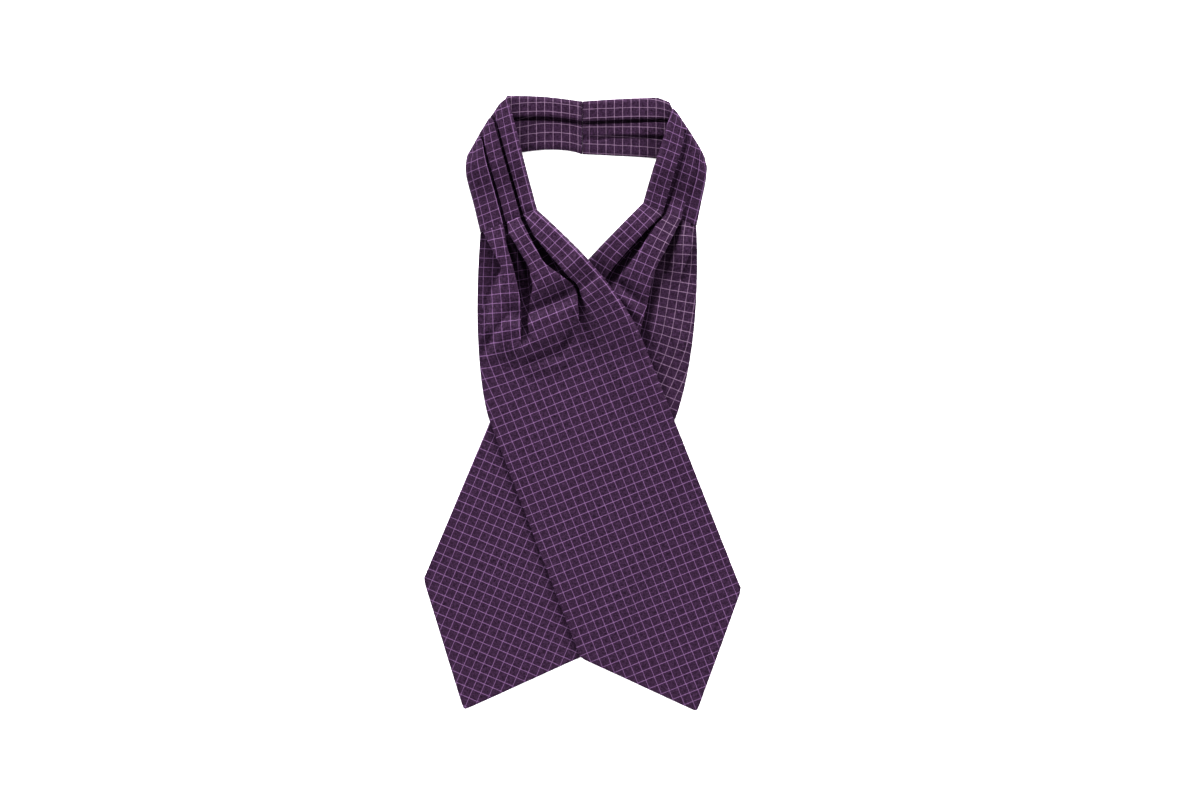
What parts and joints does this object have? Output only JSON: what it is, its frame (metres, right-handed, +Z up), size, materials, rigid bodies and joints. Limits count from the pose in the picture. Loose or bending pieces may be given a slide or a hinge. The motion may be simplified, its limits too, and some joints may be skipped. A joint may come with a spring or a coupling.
{
  "type": "silk day cravat",
  "caption": "Silk day cravat laid flat: a pleated neckband looped behind the neck and pointed blades that cross in front, in a fine windowpane check.",
  "frame": {"origin": "on the surface that the cravat lies on, under the middle of its outline", "axes": "+Z up from the surface, +Y from the blade tips towards the nape, +X to the viewer's right looking down with the nape at the top"},
  "size_m": [0.2751, 0.5341, 0.012],
  "materials": {
    "silk": "satin woven silk, dark purple with a fine lilac windowpane check"
  },
  "bodies": {
    "root": {"under_blade": "silk", "over_blade": "silk", "over_band": "silk", "under_band": "silk", "left_nape": "silk", "right_nape": "silk"}
  },
  "joints": []
}
